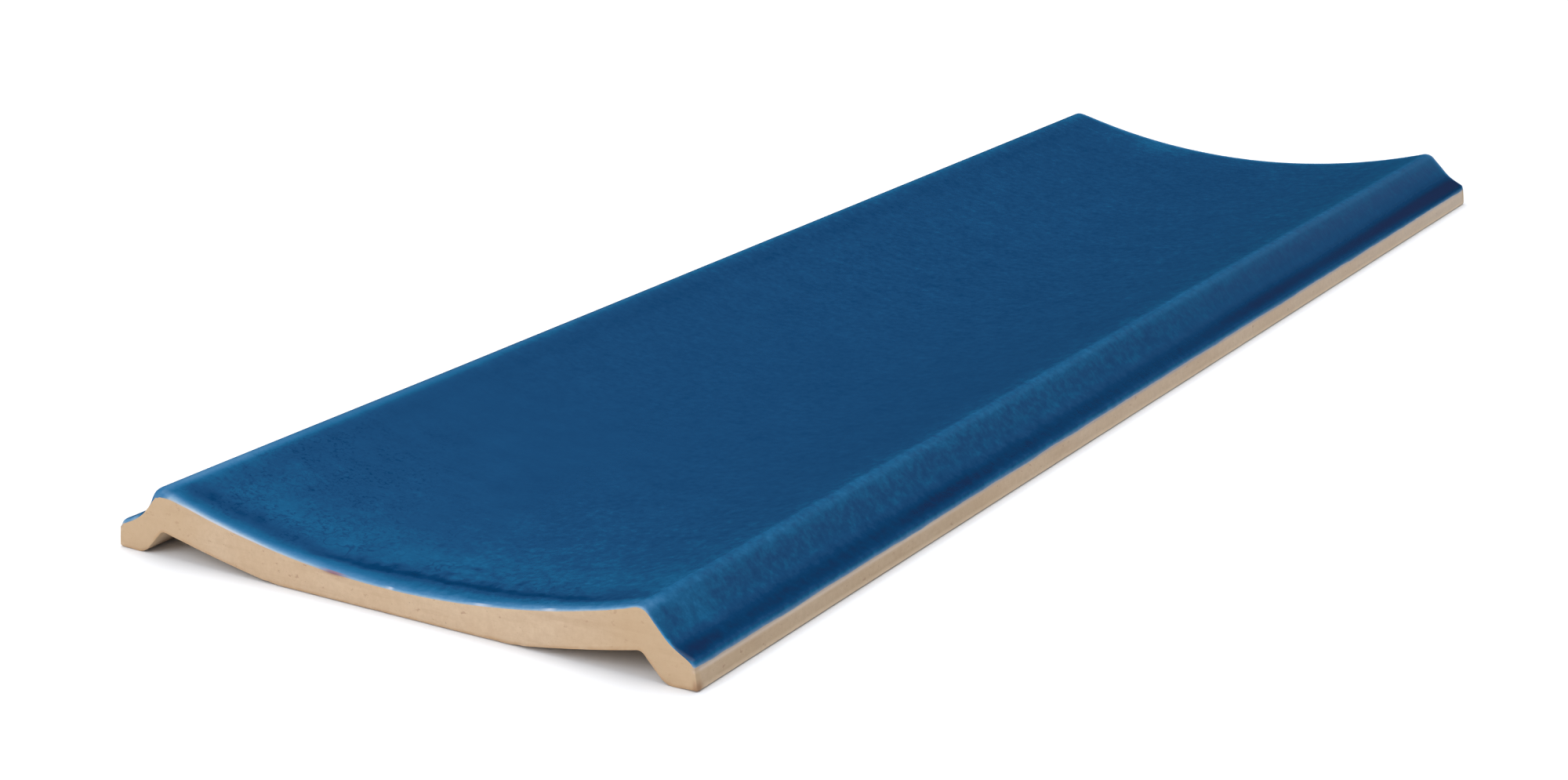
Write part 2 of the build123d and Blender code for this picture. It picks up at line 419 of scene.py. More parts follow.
# the glaze's slow waves, its bead along the long sides, and the body's unevenness.
# All of them go inwards only, so the tile keeps its outer size.
X, Y, Z = P[..., 0].copy(), P[..., 1].copy(), P[..., 2].copy()
fade = smooth(D, 0.0, 3.0)
off = np.zeros((N, M))
g = np.broadcast_to(glazed, (N, M))
off += g * (-0.036 + 0.030 * np.clip(n_wave(X + 40, Y), -1.2, 1.2)) * fade * (1 - smooth(S, S_LIP - 1.2, S_LIP))
off *= 1 - 0.85 * (X < 0) * hump(S, 41.8, 3.0)
# a faint roll where the glaze pools behind the near end
roll = hump(D, 4.6, 1.2) * (S < 40) * (Y < 0) * (0.4 + 0.6 * smooth(X, -18, -10))
off -= g * 0.022 * (S < 38) * fade * (1 - roll)
off += g * 0.22 * (X > 0) * hump(S, 47.0, 2.6) * smooth(Y, 60, 145)
body = ~g
off += body * (-0.013 + 0.011 * np.clip(n_body(X * 1.0 + 3 * Z, Y * 0.8), -1.1, 1.1)) * (Z > 0.02)
# where the glaze ends on the long sides, its rim wanders up and down the face
rim_y = np.where(X > 0, 0.0, 400.0) + Y
rim = 0.07 * n_rim(rim_y, 3.0) + 0.04 * n_line(rim_y * 1.3, 9.0)
rim -= 0.10 * smooth(n_patch(rim_y * 1.5, 77.0), 0.6, 1.2)
slide = hump(S, S_RIM, 0.30) * (np.abs(X) > 48.5)
slide = np.where((Z < 3.9) & (Z > 2.5), slide, 0.0)
Z += rim * slide
X -= np.sign(X) * rim * slide * tan(SIDE)
# the bead stands a little proud of the side face below it
bead = hump(S, side_len[GLAZE_ROW - 1], 0.14) * (np.abs(X) > 48.5) * (Z > 2.8)
off += bead * 0.05 * smooth(D, 0.1, 1.0)
X += NX * off - 0.28 * g * (X < 0) * hump(S, 42.3, 2.2) * (1 - smooth(Y, -146, -70))
Z += NZ * off
P = np.stack([X, Y, Z], -1)

thick = np.where(g, coat(S, D, X, Y), 0.0)
# the ends' lower arrises, which fired darker
arris = np.zeros((N, M))
arris[[0, 1, N - 2, N - 1], nt + R - 1 : nt + R - 1 + 2 * K + 1] = 1.0

# ---------------------------------------------------------------------------
# End faces: a grid between the top and bottom rows, so that they can be uneven
# ---------------------------------------------------------------------------
cols = 2 * K + 1


def cap(ring, sign):
    """Grid of new inner points on an end face, as (cols, R + 1) with the rim from the ring."""
    t_row = ring[:nt][::-1]  # left to right
    b_row = ring[nt + R - 1 : nt + R - 1 + cols]
    l_col = np.concatenate([t_row[:1], ring[nt : nt + R - 1], b_row[:1]])
    r_col = np.concatenate([t_row[-1:], ring[nt + R - 1 + cols :][::-1], b_row[-1:]])
    u = np.linspace(0, 1, cols)[:, None, None]
    v = np.linspace(0, 1, R + 1)[None, :, None]
    # ease the side columns' own spacing into the even one
    grid = (1 - v) * t_row[:, None] + v * b_row[:, None]
    fix_l = l_col[None] - ((1 - v) * t_row[:1][:, None] + v * b_row[:1][:, None])
    fix_r = r_col[None] - ((1 - v) * t_row[-1:][:, None] + v * b_row[-1:][:, None])
    wl, wr = np.clip(1 - u * cols / 22, 0, 1), np.clip(1 - (1 - u) * cols / 22, 0, 1)
    grid = grid + wl * fix_l + wr * fix_r
    x, z = grid[..., 0], grid[..., 2]
    inside = np.minimum.reduce([v[..., 0] * R, (1 - v[..., 0]) * R]) + 0 * x
    inside = np.minimum(inside, np.minimum(np.arange(cols), np.arange(cols)[::-1])[:, None])
    ease = smooth(inside, 0.0, 1.2)
    dent = 0.016 + 0.014 * np.clip(n_drag(z * 1.0 + 0.02 * x, x * 0.02 + sign * 9), -1.1, 1.1)
    dent = dent + 0.02 * (1 + np.clip(n_patch(x * 1.2, z * 2 + sign * 50), -1, 1)) * 0.5
    grid[..., 1] = sign * (LENGTH / 2 - ease * dent)
    return grid


verts = P.reshape(-1, 3)
thick_all, arris_all = thick.reshape(-1), arris.reshape(-1)
faces, mats, uvs = [], [], []

# one even map of the unrolled tile: glazed strip, bare strip and the two ends. The
# first 20 mm behind the near end get more room than their share.
map_v = table(P[:, 0, 1], (-150, 0.01), (-148, 0.06), (-130, 0.25), (130, 0.80), (150, 0.86))
walk = lengths(np.concatenate([loop, loop[:1]]))
total, first = walk[-1], walk[M - GLAZE_ROW]
last = walk[nt + GLAZE_ROW - 1] + total


def vid(j, i):
    return j * M + (i % M)


def map_u(i, bare):
    w = (walk[i % M] - first) % total
    if bare:
        w = w if w > 1e-6 else total
        return 0.715 + 0.275 * (w - (last - first)) / (total - (last - first))
    return 0.01 + 0.69 * w / (last - first)


for j in range(N - 1):
    for i in range(M):
        bare = not (glazed[i] and glazed[(i + 1) % M])
        faces.append((vid(j, i), vid(j + 1, i), vid(j + 1, i + 1), vid(j, i + 1)))
        mats.append(int(bare))
        u0, u1 = map_u(i, bare), map_u(i + 1, bare)
        uvs += [(u0, map_v[j]), (u0, map_v[j + 1]), (u1, map_v[j + 1]), (u1, map_v[j])]

for j, sign, v0 in ((0, -1, 0.875), (N - 1, 1, 0.940)):
    grid = cap(P[j], sign)
    ids = np.zeros((cols, R + 1), int)
    ids[:, 0] = [vid(j, nt - 1 - c) for c in range(cols)]
    ids[:, R] = [vid(j, nt + R - 1 + c) for c in range(cols)]
    ids[0, 1:R] = [vid(j, nt + r) for r in range(R - 1)]
    ids[-1, 1:R] = [vid(j, M - 1 - r) for r in range(R - 1)]
    start = len(verts)
    inner = grid[1:-1, 1:-1].reshape(-1, 3)
    ids[1:-1, 1:-1] = start + np.arange(len(inner)).reshape(cols - 2, R - 1)
    verts = np.concatenate([verts, inner])
    thick_all = np.concatenate([thick_all, np.zeros(len(inner))])
    arris_all = np.concatenate([arris_all, np.zeros(len(inner))])
    for c in range(cols - 1):
        for r in range(R):
            q = (ids[c, r], ids[c, r + 1], ids[c + 1, r + 1], ids[c + 1, r])
            q = q if sign < 0 else q[::-1]
            faces.append(q)
            mats.append(1)
            uvs += [(0.5 + 0.0097 * verts[k][0], v0 + 0.0052 * verts[k][2]) for k in q]

mesh = bpy.data.meshes.new("wall_tile")
mesh.from_pydata((verts / 1000).tolist(), [], [tuple(int(k) for k in f) for f in faces])
mesh.polygons.foreach_set("material_index", np.array(mats, np.int32))
mesh.polygons.foreach_set("use_smooth", np.ones(len(faces), bool))
mesh.uv_layers.new(name="OFBake")
mesh.uv_layers["OFBake"].data.foreach_set("uv", np.array(uvs, np.float32).reshape(-1))
for name, values in (("coat", thick_all), ("arris", arris_all)):
    layer = mesh.attributes.new(name, "FLOAT", "POINT")
    layer.data.foreach_set("value", values.astype(np.float32))
mesh.update()
tile = bpy.data.objects.new("wall_tile", mesh)
bpy.context.collection.objects.link(tile)

bm = bmesh.new()
bm.from_mesh(mesh)
bmesh.ops.recalc_face_normals(bm, faces=bm.faces)
if bm.calc_volume(signed=True) < 0:
    bmesh.ops.reverse_faces(bm, faces=bm.faces)
bm.to_mesh(mesh)
bm.free()

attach(tile, "root")
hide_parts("tile")


# ---------------------------------------------------------------------------
# Materials
# ---------------------------------------------------------------------------
def srgb(r, g, b, a=1.0):
    return tuple((c / 255 / 12.92) if c <= 10.31 else ((c / 255 + 0.055) / 1.055) ** 2.4 for c in (r, g, b)) + (a,)


class Tree:
    """Short helpers to wire a material's nodes."""

    def __init__(self, name):
        self.mat = bpy.data.materials.new(name)
        self.mat.use_nodes = True
        self.nt = self.mat.node_tree
        self.nt.nodes.clear()
        self.out = self.node("ShaderNodeOutputMaterial")
        self.pos = self.node("ShaderNodeTexCoord").outputs["Object"]

    def node(self, kind, **props):
        n = self.nt.nodes.new(kind)
        for k, v in props.items():
            setattr(n, k, v)
        return n

    def put(self, value, socket):
        if hasattr(value, "is_output"):
            self.nt.links.new(value, socket)
        else:
            socket.default_value = value

    def math(self, op, a, b=0.0, c=0.0, clamp=False):
        n = self.node("ShaderNodeMath", operation=op, use_clamp=clamp)
        for v, s in zip((a, b, c), n.inputs):
            self.put(v, s)
        return n.outputs[0]

    def noise(self, scale, detail=2.0, rough=0.5, stretch=(1, 1, 1), distortion=0.0, shift=(0, 0, 0)):
        m = self.node("ShaderNodeMapping")
        self.put(self.pos, m.inputs["Vector"])
        m.inputs["Scale"].default_value = stretch
        m.inputs["Location"].default_value = shift
        n = self.node("ShaderNodeTexNoise")
        self.put(m.outputs[0], n.inputs["Vector"])
        n.inputs["Scale"].default_value = scale
        n.inputs["Detail"].default_value = detail
        n.inputs["Roughness"].default_value = rough
        n.inputs["Distortion"].default_value = distortion
        return n.outputs["Fac"]

    def axes(self):
        """Object coordinates in millimetres, one socket each."""
        s = self.node("ShaderNodeSeparateXYZ")
        self.put(self.pos, s.inputs[0])
        return [self.math("MULTIPLY", o, 1000.0) for o in s.outputs]

    def swing(self, noise, size):
        """A noise output as a shift of about -size to size."""
        return self.math("MULTIPLY", self.math("SUBTRACT", noise, 0.5), 4 * size)

    def bell(self, v, at, width):
        """1 where v is at, falling off smoothly over width to both sides."""
        u = self.math("DIVIDE", self.math("SUBTRACT", v, at), width)
        return self.math("EXPONENT", self.math("MULTIPLY", self.math("MULTIPLY", u, u), -1.0))

    def spot(self, x, y, at_x, at_y, rx, ry):
        return self.math("MULTIPLY", self.bell(x, at_x, rx), self.bell(y, at_y, ry))

    def curve(self, v, low, high, top, *pairs):
        """Value at v, from (place, value) pairs between low and high, values 0 to top."""
        n = self.node("ShaderNodeFloatCurve")
        line_ = n.mapping.curves[0]
        spots = [((p - low) / (high - low), q / top) for p, q in pairs]
        line_.points[0].location, line_.points[1].location = spots[0], spots[-1]
        for p in spots[1:-1]:
            line_.points.new(*p)
        n.mapping.update()
        self.put(self.range(v, low, high, kind="LINEAR"), n.inputs["Value"])
        return self.math("MULTIPLY", n.outputs[0], top)

    def attr(self, name):
        n = self.node("ShaderNodeAttribute", attribute_name=name)
        return n.outputs["Fac"]

    def range(self, v, a, b, c=0.0, d=1.0, kind="SMOOTHSTEP"):
        n = self.node("ShaderNodeMapRange", interpolation_type=kind)
        self.put(v, n.inputs["Value"])
        for k, s in zip((a, b, c, d), ("From Min", "From Max", "To Min", "To Max")):
            n.inputs[s].default_value = k
        return n.outputs["Result"]

    def ramp(self, fac, stops, mode="LINEAR"):
        n = self.node("ShaderNodeValToRGB")
        r = n.color_ramp
        r.interpolation = mode
        r.elements[0].position, r.elements[0].color = stops[0]
        r.elements[1].position, r.elements[1].color = stops[-1]
        for p, c in stops[1:-1]:
            r.elements.new(p).color = c
        self.put(fac, n.inputs["Fac"])
        return n.outputs["Color"]

    def mix(self, fac, a, b, mode="MIX"):
        n = self.node("ShaderNodeMix", data_type="RGBA", blend_type=mode)
        self.put(fac, n.inputs[0])
        self.put(a, n.inputs[6])
        self.put(b, n.inputs[7])
        return n.outputs[2]

    def bump(self, height, strength, distance, normal=None):
        n = self.node("ShaderNodeBump")
        n.inputs["Strength"].default_value = strength
        n.inputs["Distance"].default_value = distance
        self.put(height, n.inputs["Height"])
        if normal is not None:
            self.put(normal, n.inputs["Normal"])
        return n.outputs[0]


# -- glaze: its colour follows how thick it lies over the pale body
g = Tree("blue_glaze")
gx, gy, gz = g.axes()
gd = g.math("ADD", gy, LENGTH / 2)  # distance from the near end
times, plus = (lambda a, b: g.math("MULTIPLY", a, b)), (lambda a, b: g.math("ADD", a, b))
coat_in = g.attr("coat")
broad = g.noise(38, 3, 0.5, shift=(3.1, 0.4, 0))
cloud = g.noise(170, 4, 0.6, shift=(0.7, 5.3, 0))
brush = g.noise(420, 4, 0.65, stretch=(0.35, 1.0, 1.0))
grain = g.noise(1500, 3, 0.7)
t = g.math("MULTIPLY_ADD", g.math("SUBTRACT", broad, 0.5), 0.05, 1.0)
t = g.math("MULTIPLY_ADD", g.math("SUBTRACT", cloud, 0.5), 0.24, t)
t = g.math("MULTIPLY_ADD", g.math("SUBTRACT", brush, 0.5), 0.21, t)
t = g.math("MULTIPLY_ADD", g.math("SUBTRACT", grain, 0.5), 0.28, t)
grit = g.noise(760, 3, 0.65, shift=(9.1, 4.2, 0))
calm = times(g.range(gx, 8, -8), g.range(gd, 90, 50))
t = g.math("MULTIPLY_ADD", times(g.math("SUBTRACT", grit, 0.5), g.math("SUBTRACT", 1.0, calm)), 0.62, t)
quiet = times(times(g.range(gx, 39, 33), g.range(gd, 30, 62)), g.range(gd, 175, 110))
still = times(g.range(gx, 40.5, 42.5), g.range(gd, 110, 210))
evened = g.math("MULTIPLY_ADD", still, -0.52, g.math("MULTIPLY_ADD", quiet, -0.38, 1.0))
t = g.math("MULTIPLY_ADD", g.math("SUBTRACT", t, 1.0), evened, 1.0)
t = times(t, coat_in)

# the glaze that ran back from the near end has pooled in a dark, wandering line
wob_a = g.swing(g.noise(330, 2, 0.5, shift=(2.2, 7.1, 0)), 0.45)
wob_b = g.swing(g.noise(1100, 2, 0.5, shift=(5.2, 1.1, 0)), 0.16)
wob_c = g.swing(g.noise(520, 2, 0.5, shift=(8.2, 3.1, 0)), 0.5)
lx = plus(gx, wob_c)
ld = plus(gd, plus(wob_a, wob_b))
line_at = g.curve(
    gx, -50, 50, 10, (-50, 4.2), (-38, 4.35), (-33, 4.8), (-28, 4.75), (-24, 4.4), (-19.4, 4.1), (-15, 3.4),
    (-11.8, 3.8), (-5.5, 4.5), (-1.4, 5.1), (5.2, 5.4), (9.8, 5.25), (14.4, 5.05), (20.9, 4.75), (26, 4.5),
    (31.8, 3.75), (36, 4.07), (50, 4.2),
)
line_how = g.curve(
    gx, -50, 50, 0.25, (-50, 0), (-41, 0.02), (-36, 0.045), (-30, 0.055), (-19, 0.05), (-16, 0.08), (-12, 0.13),
    (-6, 0.19), (0, 0.22), (10, 0.21), (20, 0.19), (26, 0.17), (31, 0.11), (36, 0.06), (40, 0.02), (41.5, 0), (50, 0),
)
off_line = g.math("SUBTRACT", ld, line_at)
reach = g.range(gx, -18, -13, 1.3, 0.8)
tuft = g.range(g.noise(620, 3, 0.6, stretch=(1.0, 0.4, 1.0), shift=(3.3, 4.4, 0)), 0.44, 0.66, 1.0, 2.1)
reach = times(reach, g.math("MULTIPLY_ADD", g.range(off_line, -0.2, 0.3), g.math("SUBTRACT", tuft, 0.8), 0.8))
wide = g.math("DIVIDE", off_line, reach)
pooled = g.math("EXPONENT", g.math("MULTIPLY", g.math("MULTIPLY", wide, wide), -1.0))
pooled = times(pooled, g.range(g.noise(480, 3, 0.6, shift=(1.2, 9.1, 0)), 0.3, 0.7, 0.65, 1.3))
t = plus(t, times(pooled, line_how))
# thin crooked veins behind it
vein = g.noise(210, 2, 0.45, distortion=1.1, shift=(4.1, 2.3, 0))
vein = g.bell(vein, 0.5, 0.014)
where = times(g.range(gd, 4.0, 5.5), g.range(gd, 14.0, 9.0))
where = times(where, times(g.range(gx, -40, -34), g.range(gx, 32, 26)))
where = times(where, g.range(g.noise(150, 2, 0.5, shift=(6.6, 1.3, 0)), 0.46, 0.58))
t = plus(t, times(times(vein, where), 0.09))
vein = g.bell(g.noise(360, 3, 0.6, distortion=1.8, shift=(7.7, 0.9, 0)), 0.5, 0.018)
where = times(times(g.range(gd, 5.0, 9.0), g.range(gd, 46.0, 18.0)), times(g.range(gx, -42, -38), g.range(gx, 14, -12)))
where = times(where, g.range(g.noise(110, 3, 0.6, shift=(2.9, 6.1, 0)), 0.40, 0.56))
t = plus(t, times(times(vein, where), 0.075))
# and cloudy, darker and paler patches there
where = times(g.range(gd, 75.0, 25.0), times(g.range(gx, -42, -38), g.range(gx, 26, 0)))
dusk = g.math("SUBTRACT", g.noise(230, 4, 0.65, shift=(0.4, 8.8, 0)), 0.5)
t = plus(t, times(times(dusk, where), g.math("MULTIPLY", g.range(gd, 2.0, 6.0), 0.060)))
# with small dark flecks
fleck = g.range(g.noise(1350, 3, 0.7, shift=(3.7, 2.2, 0)), 0.50, 0.66)
where = times(times(g.range(gd, 1.8, 3.8), g.range(gd, 60.0, 25.0)), times(g.range(gx, -42, -38), g.range(gx, -12, -25)))
where = times(where, g.range(g.noise(170, 3, 0.6, shift=(5.1, 3.6, 0)), 0.42, 0.58))
t = plus(t, times(times(fleck, where), 0.12))
# blots
for bx, bd, br, how in (
    (-3.7, 6.6, 1.0, 0.14), (4.0, 8.2, 0.8, 0.10), (6.6, 11.3, 0.9, 0.10), (-3.7, 16.0, 0.7, 0.07),
    (16.3, 8.6, 0.9, 0.14), (-30.4, 4.8, 1.2, 0.045), (-27.8, 5.6, 1.0, 0.09), (43.8, 3.6, 1.3, 0.03),
    (-36.0, 5.2, 1.5, 0.07), (0.1, 8.2, 0.7, 0.06), (-22.0, 7.5, 1.0, 0.05), (10.5, 7.4, 0.8, 0.07),
):
    t = plus(t, times(g.spot(lx, ld, bx, bd, br * 0.8, br * 0.8), how))
GLAZE = [
    (0.00, (205, 186, 170)), (0.025, (196, 188, 186)), (0.05, (164, 176, 188)), (0.08, (126, 155, 179)),
    (0.11, (99, 139, 170)), (0.14, (81, 128, 165)), (0.17, (66, 118, 158)), (0.20, (53, 109, 150)),
    (0.23, (42, 102, 143)), (0.26, (33, 96, 137)), (0.29, (27, 89, 129)), (0.32, (25, 82, 121)),
    (0.36, (25, 71, 111)), (0.42, (22, 64, 103)), (0.50, (8, 56, 95)), (0.60, (5, 51, 88)),
    (0.75, (12, 42, 77)), (0.95, (19, 35, 69)),
]
colour = g.ramp(t, [(p, srgb(*c)) for p, c in GLAZE])
# the edge of the near end: whiter left of the middle, stained in two places
white_edge = times(times(g.range(gx, -12, -24), g.bell(t, 0.045, 0.03)), g.range(gd, 1.0, 0.6))
white_edge = times(white_edge, g.range(gx, -39, -36))
colour = g.mix(times(white_edge, 0.30), colour, srgb(208, 207, 214))
for wx, wr in ((15.6, 1.5), (26.9, 1.1), (0.3, 0.5)):
    colour = g.mix(times(times(g.bell(lx, wx, wr), g.range(gd, 0.5, 0.3)), 0.45), colour, srgb(214, 214, 222))
colour = g.mix(times(times(g.bell(gx, -9.5, 1.9), g.range(gd, 0.45, 0.2)), 0.85), colour, srgb(134, 90, 100))
# painted highlight: a cyan glint on the thin glaze where the right flank's foot meets the near end
glint = times(g.spot(lx, ld, 46.2, 0.3, 1.7, 1.2), g.range(t, 0.30, 0.12))
colour = g.mix(times(glint, 0.7), colour, srgb(66, 158, 205))
# the body shows reddish through the coat on the left crest; on the right crest the reddish tint, growing towards the
# far end, is a painted reflection
warm_and_sheen = times(g.range(gx, -40.6, -41.8), times(g.range(gd, 22.0, 50.0), g.range(gd, 150.0, 100.0)))
right = times(g.range(gx, 40.0, 41.6), g.range(gx, 46.0, 43.4))
warm_and_sheen = plus(times(warm_and_sheen, 0.02), times(right, g.range(gd, 150.0, 230.0, 0.006, 0.016)))
colour = g.mix(warm_and_sheen, colour, srgb(188, 104, 89))
# its rim on the long sides is greyer
rim = times(g.bell(gz, 3.28, 0.2), g.range(g.math("ABSOLUTE", gx), 48.9, 49.3))
colour = g.mix(times(rim, 0.28), colour, srgb(84, 96, 118))
b = g.node("ShaderNodeBsdfPrincipled")
g.put(colour, b.inputs["Base Color"])
b.inputs["Roughness"].default_value = 0.1
b.inputs["IOR"].default_value = 1.5
b.inputs["Specular IOR Level"].default_value = 0.5
peel = g.bump(g.noise(260, 2, 0.5), 0.07, 0.0004)
peel = g.bump(g.noise(1100, 2, 0.5), 0.03, 0.0001, peel)
g.put(peel, b.inputs["Normal"])
g.put(b.outputs[0], g.out.inputs["Surface"])

# -- body: buff fired clay, bare
c = Tree("buff_body")
cx, cy, cz = c.axes()
patch = c.noise(60, 3, 0.5, shift=(1.3, 2.2, 0.3))
fine = c.noise(900, 5, 0.7)
speck = c.noise(2600, 2, 0.6, shift=(4, 1, 2))
tone = c.mix(c.range(patch, 0.35, 0.65), srgb(201, 174, 143), srgb(206, 181, 152))
tone = c.mix(c.math("MULTIPLY", c.range(fine, 0.30, 0.72), 0.42), tone, srgb(184, 154, 126))
tone = c.mix(c.math("MULTIPLY", c.range(speck, 0.66, 0.76), 0.55), tone, srgb(146, 120, 104))
streak = c.noise(760, 3, 0.6, stretch=(0.09, 0.09, 1.0), shift=(2, 6, 1))
tone = c.mix(c.math("MULTIPLY", c.range(streak, 0.50, 0.70), 0.30), tone, srgb(176, 146, 118))
pit = c.noise(1250, 2, 0.55, stretch=(0.6, 0.6, 1.0), shift=(7, 1, 5))
tone = c.mix(c.math("MULTIPLY", c.range(pit, 0.66, 0.74), 0.45), tone, srgb(150, 112, 92))
# right under the glaze the sides are greyer, and a little lower paler where they are rubbed; towards the foot they are
# painted paler, painted light that lifts the shade of the rounded lower edge
sides = c.range(c.math("ABSOLUTE", cx), 49.0, 49.4)
under = c.math("MULTIPLY", c.bell(cz, 3.05, 0.26), sides)
tone = c.mix(c.math("MULTIPLY", under, c.range(cy, -100.0, 40.0, 0.6, 0.95)), tone, srgb(154, 149, 158))
away = c.curve(
    cy, -150, 150, 0.5, (-150, 0), (-75, 0.02), (-30, 0.12), (30, 0.15), (90, 0.22), (125, 0.32), (150, 0.38),
)
tone = c.mix(c.math("MULTIPLY", away, sides), tone, srgb(214, 207, 196))
dull = c.math("MULTIPLY", c.range(cy, -60.0, -85.0), sides)
tone = c.mix(c.math("MULTIPLY", dull, 0.20), tone, srgb(166, 150, 128))
rubbed = c.math("MULTIPLY", c.bell(cz, 2.78, 0.28), c.math("MULTIPLY", c.range(cy, -55.0, -100.0), sides))
tone = c.mix(c.math("MULTIPLY", rubbed, 0.45), tone, srgb(228, 212, 194))
# painted light: paler towards the foot, against the shade of the rounded lower edge
foot = c.math("MULTIPLY", c.range(cz, 1.0, 0.3), sides)
tone = c.mix(c.math("MULTIPLY", foot, 0.6), tone, srgb(232, 210, 180))
# painted shade: darker where the feet's inner sides meet the floor
inner = c.math("MULTIPLY", c.bell(c.math("ABSOLUTE", cx), 44.6, 0.9), c.bell(cz, 0.2, 0.45))
tone = c.mix(c.math("MULTIPLY", inner, 0.7), tone, srgb(84, 62, 48))
# painted shade: the ends a little darker and more brown towards their corners; the lower arris is more brown most of
# all
ends = c.range(c.math("ABSOLUTE", cy), 148.5, 149.5)
corner_shade = c.math("MULTIPLY", c.math("MULTIPLY", c.range(c.math("ABSOLUTE", cx), 30, 40), ends), 0.6)
tone = c.mix(corner_shade, tone, srgb(192, 162, 127))
burnt = c.math("MULTIPLY", c.attr("arris"), c.range(c.noise(420, 3, 0.6, shift=(2, 2, 5)), 0.35, 0.6, 0.2, 0.65))
tone = c.mix(burnt, tone, srgb(182, 143, 104))
stain = c.math("MULTIPLY", c.spot(cx, cz, -9.5, 4.1, 1.9, 0.3), ends)
tone = c.mix(c.math("MULTIPLY", stain, 0.85), tone, srgb(126, 82, 88))
stain = c.math("MULTIPLY", c.spot(cy, cz, -149.6, 0.5, 0.9, 0.8), c.range(cx, 49.0, 49.6))
tone = c.mix(c.math("MULTIPLY", stain, 0.8), tone, srgb(150, 110, 80))
b = c.node("ShaderNodeBsdfPrincipled")
c.put(tone, b.inputs["Base Color"])
b.inputs["Roughness"].default_value = 0.88
b.inputs["Specular IOR Level"].default_value = 0.25
rough = c.bump(fine, 0.35, 0.00012)
rough = c.bump(c.noise(260, 3, 0.6, stretch=(0.12, 0.12, 1.0)), 0.25, 0.00015, rough)
c.put(rough, b.inputs["Normal"])
c.put(b.outputs[0], c.out.inputs["Surface"])

mesh.materials.append(g.mat)
mesh.materials.append(c.mat)

# ---------------------------------------------------------------------------
# Floor, light and camera
# ---------------------------------------------------------------------------
floor_mesh = bpy.data.meshes.new("floor")
# a disc no wider than the light, so that it has no grey rim in low views
disc = [(-0.45 + 1.35 * cos(a), -0.5 + 1.35 * sin(a), 0) for a in np.radians(np.arange(0, 360, 5))]
floor_mesh.from_pydata(disc, [], [tuple(range(len(disc)))])
floor = bpy.data.objects.new("floor", floor_mesh)
bpy.context.collection.objects.link(floor)
f = Tree("floor_white")
b = f.node("ShaderNodeBsdfDiffuse")
b.inputs["Color"].default_value = (0.825, 0.840, 0.862, 1)
f.put(b.outputs[0], f.out.inputs["Surface"])
floor_mesh.materials.append(f.mat)
floor.visible_glossy = False


def area(name, size, power, place, aim=(0, 0, 0), colour=(1, 1, 1), glossy=True):
    light = bpy.data.lights.new(name, "AREA")
    light.shape = "RECTANGLE"
    light.size, light.size_y = size
    light.energy = power
    light.color = colour
    o = bpy.data.objects.new(name, light)
    o.location = place
    o.rotation_euler = (Vector(place) - Vector(aim)).to_track_quat("Z", "Y").to_euler()
    o.visible_glossy = glossy
    bpy.context.collection.objects.link(o)
    return o


area("soft_top", (3.0, 4.0), 110.0, (-0.5, 0.62, 3.1), (0, 0, 0), glossy=False)
area("soft_front", (2.0, 3.2), 69.0, (-1.0, -2.95, 2.3), (0, 0, 0), (0.985, 0.985, 1.0), glossy=False)

world = bpy.data.worlds.new("studio")
bpy.context.scene.world = world
world.use_nodes = True
w = world.node_tree
w.nodes.clear()
out = w.nodes.new("ShaderNodeOutputWorld")
path = w.nodes.new("ShaderNodeLightPath")
white = w.nodes.new("ShaderNodeBackground")
white.inputs[0].default_value = (1, 1, 1, 1)
white.inputs[1].default_value = 1.0
fill = w.nodes.new("ShaderNodeBackground")
fill.inputs[0].default_value = (0.94, 0.985, 1.06, 1)
fill.inputs[1].default_value = 0.44
# what the gloss mirrors: a dim room with a soft glow behind the tile and a pale ceiling
room = w.nodes.new("ShaderNodeBackground")
room.inputs[0].default_value = (0.06, 0.40, 1.0, 1)
room.inputs[1].default_value = 0.062
gloss = w.nodes.new("ShaderNodeBackground")
gen = w.nodes.new("ShaderNodeTexCoord")
sep = w.nodes.new("ShaderNodeSeparateXYZ")
w.links.new(gen.outputs["Generated"], sep.inputs[0])
ceiling = w.nodes.new("ShaderNodeMapRange")
ceiling.interpolation_type = "SMOOTHSTEP"
for key, v in (("From Min", 0.64), ("From Max", 0.95), ("To Min", 0.0), ("To Max", 1.0)):
    ceiling.inputs[key].default_value = v
w.links.new(sep.outputs["Z"], ceiling.inputs["Value"])
aside = w.nodes.new("ShaderNodeMath")
aside.operation = "SUBTRACT"
aside.inputs[1].default_value = 0.04
w.links.new(sep.outputs["X"], aside.inputs[0])
width = w.nodes.new("ShaderNodeMath")
width.operation = "ABSOLUTE"
w.links.new(aside.outputs[0], width.inputs[0])
glow = w.nodes.new("ShaderNodeMapRange")
glow.interpolation_type = "SMOOTHSTEP"
for key, v in (("From Min", 0.04), ("From Max", 0.30), ("To Min", 0.03), ("To Max", 0.0)):
    glow.inputs[key].default_value = v
w.links.new(width.outputs[0], glow.inputs["Value"])
above = w.nodes.new("ShaderNodeMapRange")
above.interpolation_type = "SMOOTHSTEP"
for key, v in (("From Min", 0.15), ("From Max", 0.35), ("To Min", 0.0), ("To Max", 1.0)):
    above.inputs[key].default_value = v
w.links.new(sep.outputs["Z"], above.inputs["Value"])
both = w.nodes.new("ShaderNodeMath")
both.operation = "MULTIPLY_ADD"
w.links.new(glow.outputs[0], both.inputs[0])
w.links.new(above.outputs[0], both.inputs[1])
w.links.new(ceiling.outputs[0], both.inputs[2])
low = w.nodes.new("ShaderNodeMapRange")
low.interpolation_type = "SMOOTHSTEP"
for key, v in (("From Min", -0.02), ("From Max", -0.14), ("To Min", 0.0), ("To Max", 0.13)):
    low.inputs[key].default_value = v
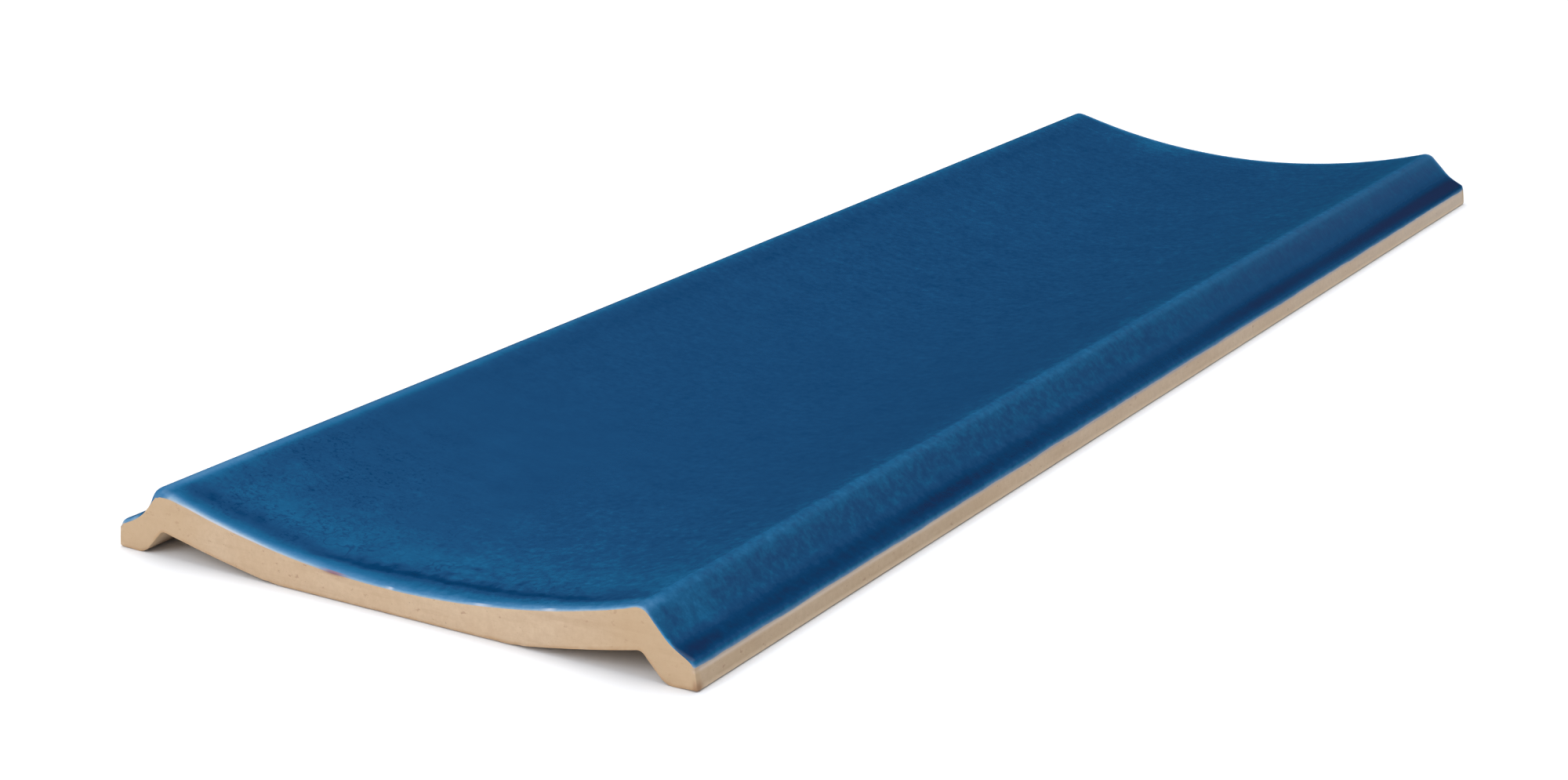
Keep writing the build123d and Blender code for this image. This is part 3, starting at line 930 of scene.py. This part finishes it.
w.links.new(sep.outputs["Z"], low.inputs["Value"])
every = w.nodes.new("ShaderNodeMath")
every.operation = "ADD"
w.links.new(both.outputs[0], every.inputs[0])
w.links.new(low.outputs[0], every.inputs[1])
gloss.inputs[0].default_value = (0.95, 0.98, 1, 1)
w.links.new(every.outputs[0], gloss.inputs[1])
mirrored = w.nodes.new("ShaderNodeAddShader")
w.links.new(room.outputs[0], mirrored.inputs[0])
w.links.new(gloss.outputs[0], mirrored.inputs[1])
m1 = w.nodes.new("ShaderNodeMixShader")
m2 = w.nodes.new("ShaderNodeMixShader")
w.links.new(path.outputs["Is Glossy Ray"], m1.inputs[0])
w.links.new(fill.outputs[0], m1.inputs[1])
w.links.new(mirrored.outputs[0], m1.inputs[2])
w.links.new(path.outputs["Is Camera Ray"], m2.inputs[0])
w.links.new(m1.outputs[0], m2.inputs[1])
w.links.new(white.outputs[0], m2.inputs[2])
w.links.new(m2.outputs[0], out.inputs["Surface"])

bpy.context.scene.view_settings.view_transform = "Standard"
bpy.context.scene.view_settings.look = "None"

# camera: fitted to the photograph's edges and vanishing points
yaw, pitch, roll = radians(31.724), radians(17.762), radians(-0.211)
up, ahead = Vector((0, 0, 1)), Vector((-sin(yaw), cos(yaw), 0))
right = Vector((cos(yaw), sin(yaw), 0))
look = ahead * cos(pitch) - up * sin(pitch)
top_dir = up * cos(pitch) + ahead * sin(pitch)
r_ = right * cos(roll) + top_dir * sin(roll)
t_ = -right * sin(roll) + top_dir * cos(roll)
cam_data = bpy.data.cameras.new("camera")
cam_data.sensor_fit = "HORIZONTAL"
cam_data.sensor_width = 36.0
cam_data.lens = 36.0 * 3474.9 / 2000.0
cam_data.clip_start, cam_data.clip_end = 0.01, 100
cam = bpy.data.objects.new("camera", cam_data)
rot = Matrix((r_, t_, -look)).transposed()
cam.matrix_world = Matrix.Translation((0.22559, -0.41299, 0.14143)) @ rot.to_4x4()
bpy.context.collection.objects.link(cam)
bpy.context.scene.camera = cam

bpy.context.view_layer.update()
